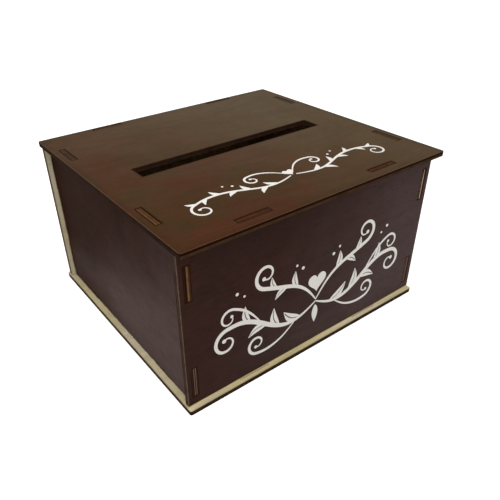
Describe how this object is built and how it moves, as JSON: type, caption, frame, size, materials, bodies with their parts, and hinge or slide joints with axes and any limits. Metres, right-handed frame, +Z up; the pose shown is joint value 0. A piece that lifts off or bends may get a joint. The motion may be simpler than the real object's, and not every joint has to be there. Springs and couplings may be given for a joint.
{
  "type": "wedding card box",
  "caption": "Rectangular wooden card box of tabbed plywood panels on a base plate, with a lift-off overhanging lid and a long card slot.",
  "frame": {"origin": "middle of the overall footprint, on the surface that the base plate stands on", "axes": "+X to the right along the card slot, +Y from the front panel to the back panel, +Z up"},
  "size_m": [0.28, 0.2608, 0.1593],
  "materials": {
    "natural_plywood": "bare birch plywood with laser-browned edges",
    "stained_front": "semi-matte dark walnut stain outside, bare inside, laser-browned edges",
    "stained_back": "semi-matte dark walnut stain outside, bare inside, laser-browned edges",
    "stained_left": "semi-matte dark walnut stain outside, bare inside, laser-browned edges",
    "stained_right": "semi-matte dark walnut stain outside, bare inside, laser-browned edges",
    "stained_lid": "semi-matte dark walnut stain outside, bare inside, laser-browned edges"
  },
  "bodies": {
    "box": {"base_plate": "natural_plywood", "front_panel": "stained_front", "back_panel": "stained_back", "left_wall": "stained_left", "right_wall": "stained_right"},
    "lid": {"lid": "stained_lid"}
  },
  "joints": [
    {"name": "lid_lift", "type": "slide", "parent": "box", "child": "lid", "axis": [0, 0, 1], "range_m": [0, 0.06]}
  ]
}
